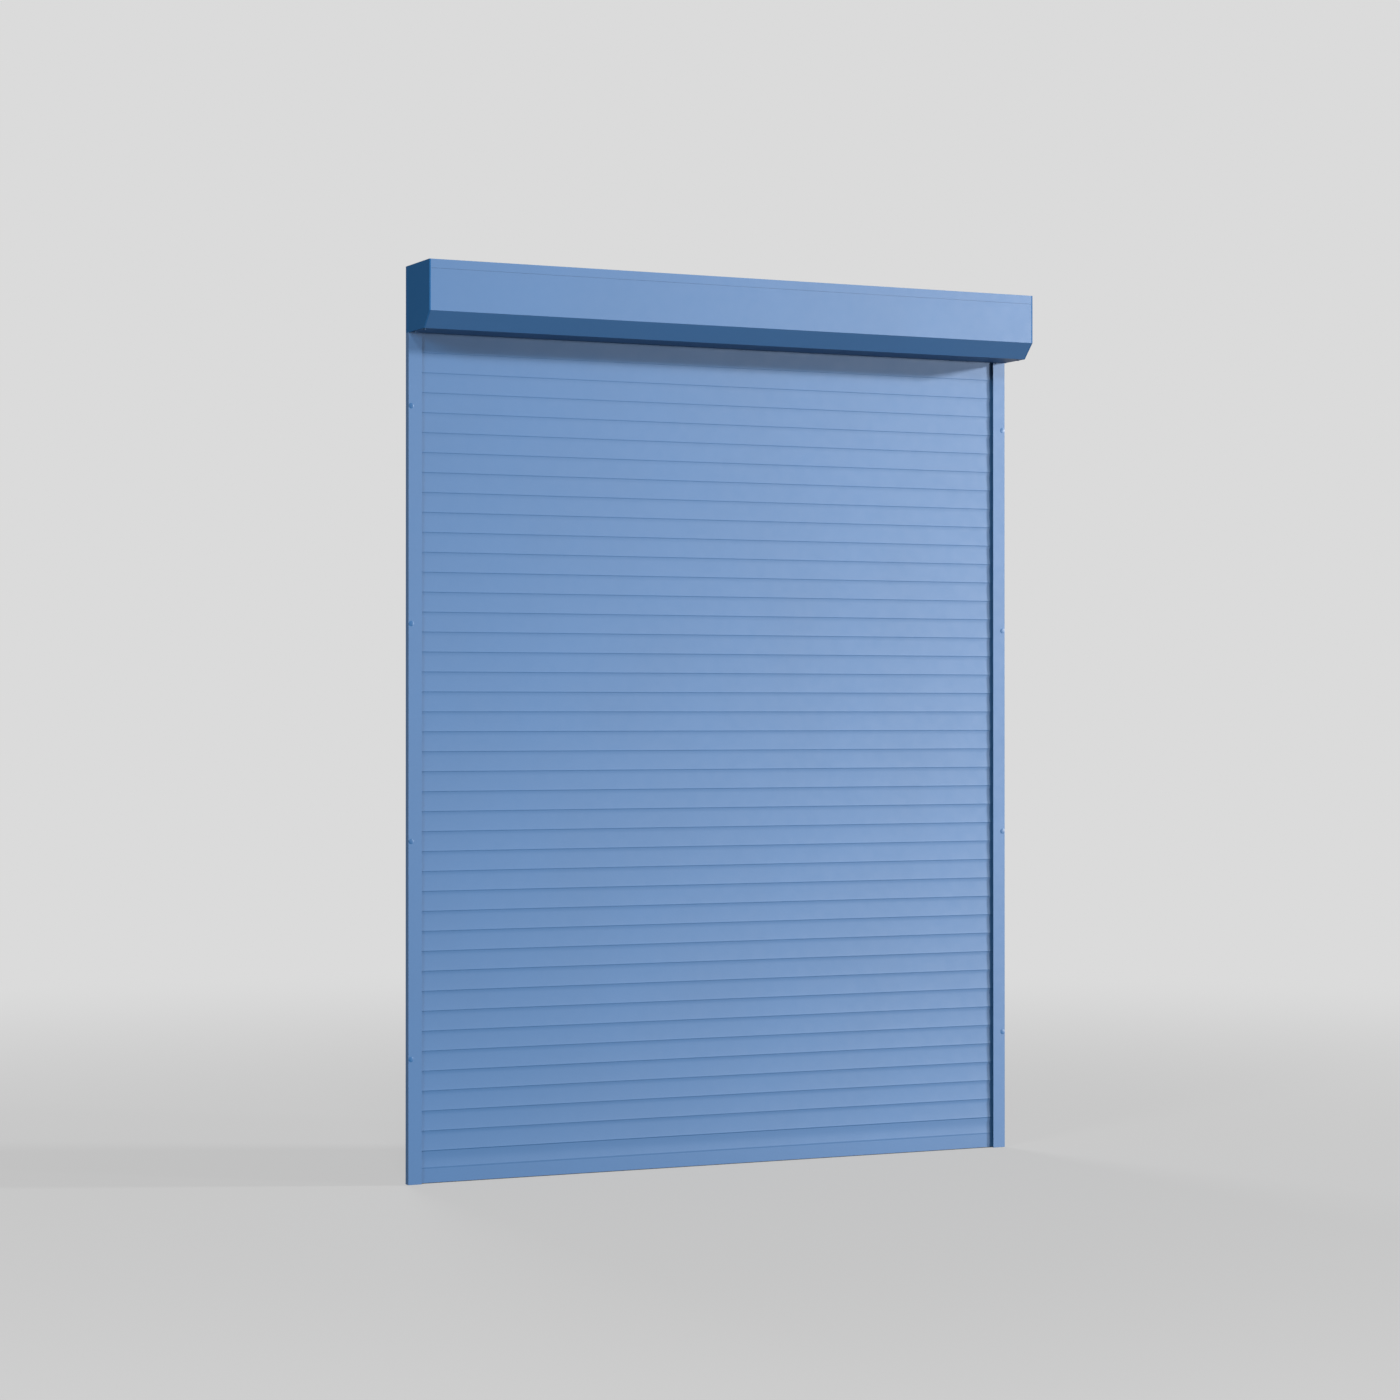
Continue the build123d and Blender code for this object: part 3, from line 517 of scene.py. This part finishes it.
# Seals, plugs and screws
def make_brushes():
    """A woven backing strip with three rows of fine tufts that lean a little at random."""
    backing_depth = 0.9 * MM
    row_pitch = 0.9 * MM
    tufts = 520
    end_gap = 1 * MM
    wide = 0.32 * MM
    tall = 1.3 * MM
    root_depth = 0.8 * MM
    chance = random.Random(7)

    def stray(reach):
        return chance.uniform(-reach, reach) * MM

    for side in ("left", "right"):
        low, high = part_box("brush_seal_" + side)
        middle = (low.x + high.x) / 2
        front = low.y + backing_depth
        root = low.y + root_depth
        backing = [(low.x, low.y), (high.x, low.y), (high.x, front), (low.x, front)]
        points = [(x, y, z) for z in (low.z, high.z) for x, y in backing]
        faces = bar_faces(len(backing), 0)
        for row in (-row_pitch, 0, row_pitch):
            for n in range(tufts):
                z = low.z + end_gap + (high.z - low.z - 2 * end_gap) * (n + 0.5) / tufts
                z += stray(0.5)
                x = middle + row + stray(0.15)
                tip_x = x + stray(0.25)
                tip_z = z + stray(0.5)
                tip = high.y - chance.uniform(0, 0.25) * MM
                start = len(points)
                points += [(x - wide, root, z), (x + wide, root, z), (x, root, z + tall)]
                points += [(tip_x - wide / 2, tip, tip_z), (tip_x + wide / 2, tip, tip_z)]
                points.append((tip_x, tip, tip_z + tall))
                faces += bar_faces(3, start)
        mesh = mesh_from("brush_tufts_" + side, points, faces)
        add_piece("brush_tufts_" + side, mesh, "frame", "brush_pile", "brush_seal_" + side)


def make_plugs():
    """Round snap-in plugs with a thin domed flange over each fixing hole."""
    low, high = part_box("guide_plugs")
    front = low.y
    back = front + 3 * MM
    flange = 6 * MM
    dome = 0.45 * MM
    stem = 4.4 * MM
    stem_tip = 4.2 * MM
    slopes = (0.3, 0.6, 0.9, 1.2, 1.45)
    profile = [(0, front - dome)]
    profile += [(flange * math.sin(slope), front - dome * math.cos(slope)) for slope in slopes]
    profile += [(flange, front), (stem, front), (stem_tip, back), (0, back)]
    mesh = turned("plug_form", profile)
    plain_radius = 4.9 * MM
    rows = 4
    x = high.x - plain_radius
    span = high.z - low.z - 2 * plain_radius
    heights = [low.z + plain_radius + span * n / (rows - 1) for n in range(rows)]
    places = [(side * x, 0, z) for side in (-1, 1) for z in heights]
    copies("guide_plugs_round", mesh, places, "frame", "guide_plug_blue", "guide_plugs")


def pan_head(under, top):
    head_radius = 3.6 * MM
    head_height = 2.2 * MM
    shank = 2 * MM
    rounding = ((0.62, 0.08), (0.88, 0.45), (0.99, 1.1))
    seat = under + head_height
    profile = [(0, under)]
    profile += [(head_radius * share, under + rise * MM) for share, rise in rounding]
    profile += [(head_radius, seat), (shank, seat), (shank, top), (0, top)]
    return turned("pan_head", profile, sides=40, axis="Z"), head_radius


def cross_recess(under):
    """The tool that cuts the recess: a cross that starts below the head and narrows upwards."""
    arm = 0.55 * MM
    reach = 2.1 * MM
    deep = 1.1 * MM
    start = 0.5 * MM
    narrowing = 0.6
    outline = []
    corner = [(-reach, -arm), (-arm, -arm), (-arm, -reach)]
    for quarter in range(4):
        outline += corner
        corner = [(-y, x) for x, y in corner]
    points = [(x, y, under - start) for x, y in outline]
    points += [(x * narrowing, y * narrowing, under + deep) for x, y in outline]
    return mesh_from("cross", points, bar_faces(len(outline), 0))


def make_cover_screws():
    """Pan heads with a cross recess under the box."""
    low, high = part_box("cover_screws")
    mesh, head_radius = pan_head(low.z, high.z)
    screw = bpy.data.objects.new("pan_head", mesh)
    cross = bpy.data.objects.new("cross", cross_recess(low.z))
    for made in (screw, cross):
        bpy.context.scene.collection.objects.link(made)
    cut = screw.modifiers.new("recess", "BOOLEAN")
    cut.object = cross
    cut.operation = "DIFFERENCE"
    bpy.context.view_layer.update()
    cut_screw = screw.evaluated_get(bpy.context.evaluated_depsgraph_get())
    recessed = bpy.data.meshes.new_from_object(cut_screw)
    bpy.data.objects.remove(screw)
    bpy.data.objects.remove(cross)
    x = high.x - head_radius
    rows = (high.y - head_radius, low.y + head_radius)
    places = [(side * x, y, 0) for side in (-1, 1) for y in rows]
    copies("cover_screws_recessed", recessed, places, "frame", "powder_coat_blue", "cover_screws")


def make_grommet():
    low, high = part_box("cable_grommet")
    centre = (low + high) / 2
    bore = 4 * MM
    body = 7.3 * MM
    flange = 11 * MM
    lip = 0.5 * MM
    shoulder = low.y + 1.4 * MM
    profile = [
        (bore, low.y + lip), (bore + lip, low.y), (flange - lip, low.y), (flange, low.y + lip),
        (flange, shoulder), (body, shoulder), (body, high.y - lip), (body - lip, high.y),
        (bore + lip, high.y), (bore, high.y - lip), (bore, low.y + lip),
    ]
    mesh = turned("grommet_form", profile)
    copies("cable_grommet_round", mesh, [(centre.x, 0, centre.z)], "frame", "black_rubber", "cable_grommet")


def make_hangers():
    """The free stretch of each spring strap, which on the real shutter folds up towards the shaft as the
    curtain rises; here it is a fixed copy of the construction mesh on the frame.
    """
    source = nodes["hanger_springs"].data
    points = [tuple(vert.co) for vert in source.vertices]
    faces = [tuple(face.vertices) for face in source.polygons]
    mesh = mesh_from("hanger_straps", points, faces)
    straps = add_piece("hanger_straps", mesh, "frame", "spring_steel", "hanger_springs")
    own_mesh(straps)


# Studio
def one_colour(tree, kind, colour):
    node = tree.nodes.new(kind)
    node.inputs["Color"].default_value = (*colour, 1)
    return node.outputs[0]


def mixed(tree, share, first, second):
    """The first shader at a share of none and the second at one; the share is a number or a socket."""
    both = tree.nodes.new("ShaderNodeMixShader")
    if isinstance(share, float):
        both.inputs["Fac"].default_value = share
    else:
        tree.links.new(share, both.inputs["Fac"])
    tree.links.new(first, both.inputs[1])
    tree.links.new(second, both.inputs[2])
    return both.outputs["Shader"]


def background_rays(tree):
    """One for rays that show the background: from the camera, in gloss and through glass."""
    path = tree.nodes.new("ShaderNodeLightPath")
    seen = path.outputs["Is Camera Ray"]
    for kind in ("Is Glossy Ray", "Is Transmission Ray"):
        either = tree.nodes.new("ShaderNodeMath")
        either.operation = "MAXIMUM"
        tree.links.new(seen, either.inputs[0])
        tree.links.new(path.outputs[kind], either.inputs[1])
        seen = either.outputs["Value"]
    return seen


def distance_fade(tree):
    """None round the shutter, and one where the floor is to look like the background."""
    place = tree.nodes.new("ShaderNodeTexCoord")
    reach = tree.nodes.new("ShaderNodeVectorMath")
    reach.operation = "LENGTH"
    tree.links.new(place.outputs["Object"], reach.inputs[0])
    far = tree.nodes.new("ShaderNodeMapRange")
    far.interpolation_type = "SMOOTHSTEP"
    far.inputs["From Min"].default_value = FLOOR_NEAR
    far.inputs["From Max"].default_value = FLOOR_FAR
    tree.links.new(reach.outputs["Value"], far.inputs["Value"])
    return far.outputs["Result"]


def make_floor():
    """A pale floor with the shutter's shadow, which throws little light back up at the shutter."""
    mesh = turned("floor", [(0, -FLOOR_DROP), (FLOOR_RADIUS, -FLOOR_DROP)], sides=64, axis="Z")
    floor = bpy.data.objects.new("floor", mesh)
    bpy.context.scene.collection.objects.link(floor)
    material = bpy.data.materials.new("studio_floor")
    material.use_nodes = True
    tree = material.node_tree
    tree.nodes.clear()
    out = tree.nodes.new("ShaderNodeOutputMaterial")
    pale = one_colour(tree, "ShaderNodeBsdfDiffuse", FLOOR)
    soft = one_colour(tree, "ShaderNodeEmission", FLOOR_GLOW)
    plain = one_colour(tree, "ShaderNodeEmission", BACKGROUND)
    dark = one_colour(tree, "ShaderNodeBsdfDiffuse", FLOOR_SHADE)
    near = mixed(tree, FLOOR_GLOW_SHARE, pale, soft)
    seen = mixed(tree, distance_fade(tree), near, plain)
    tree.links.new(mixed(tree, background_rays(tree), dark, seen), out.inputs["Surface"])
    mesh.materials.append(material)


def make_world():
    """Soft light from above and all round, little from below, and a pale grey background."""
    world = bpy.data.worlds.new("studio")
    world.use_nodes = True
    bpy.context.scene.world = world
    tree = world.node_tree
    tree.nodes.clear()
    out = tree.nodes.new("ShaderNodeOutputWorld")
    place = tree.nodes.new("ShaderNodeTexCoord")
    split = tree.nodes.new("ShaderNodeSeparateXYZ")
    tree.links.new(place.outputs["Generated"], split.inputs["Vector"])
    height = tree.nodes.new("ShaderNodeMapRange")
    height.inputs["From Min"].default_value = -1
    tree.links.new(split.outputs["Z"], height.inputs["Value"])
    rise = tree.nodes.new("ShaderNodeValToRGB")
    rise.color_ramp.elements.new(0.5)
    for step, (place_up, light) in zip(rise.color_ramp.elements, SKY):
        step.position = place_up
        step.color = (*light, 1)
    tree.links.new(height.outputs["Result"], rise.inputs["Fac"])
    soft = tree.nodes.new("ShaderNodeBackground")
    tree.links.new(rise.outputs["Color"], soft.inputs["Color"])
    shown = one_colour(tree, "ShaderNodeBackground", BACKGROUND)
    both = mixed(tree, background_rays(tree), soft.outputs["Background"], shown)
    tree.links.new(both, out.inputs["Surface"])


def add_lamp(name, turn, rise, distance, size, power):
    """A square softbox aimed at the shutter."""
    lamp = bpy.data.lights.new(name, "AREA")
    lamp.size = size
    lamp.energy = power
    holder = bpy.data.objects.new(name, lamp)
    bpy.context.scene.collection.objects.link(holder)
    holder.visible_camera = False
    across = math.radians(turn)
    up = math.radians(rise)
    level = math.cos(up)
    direction = Vector((math.sin(across) * level, -math.cos(across) * level, math.sin(up)))
    holder.location = AIM + direction * distance
    holder.rotation_euler = direction.to_track_quat("Z", "Y").to_euler()


def make_camera():
    view = bpy.data.cameras.new("camera")
    view.lens = CAMERA_LENS
    view.sensor_width = SENSOR
    holder = bpy.data.objects.new("camera", view)
    bpy.context.scene.collection.objects.link(holder)
    holder.location = CAMERA_PLACE
    holder.rotation_euler = (math.radians(CAMERA_PITCH), 0, math.radians(CAMERA_TURN))
    bpy.context.scene.camera = holder


finish_nodes()
for piece, edge_radius in EDGE_RADII.items():
    soften(piece, edge_radius * MM)
make_slats()
make_brushes()
make_plugs()
make_cover_screws()
make_grommet()
make_hangers()
make_floor()
make_world()
for lamp_name, settings in LAMPS.items():
    add_lamp(lamp_name, **settings)
make_camera()
bpy.context.scene.view_settings.view_transform = "Standard"
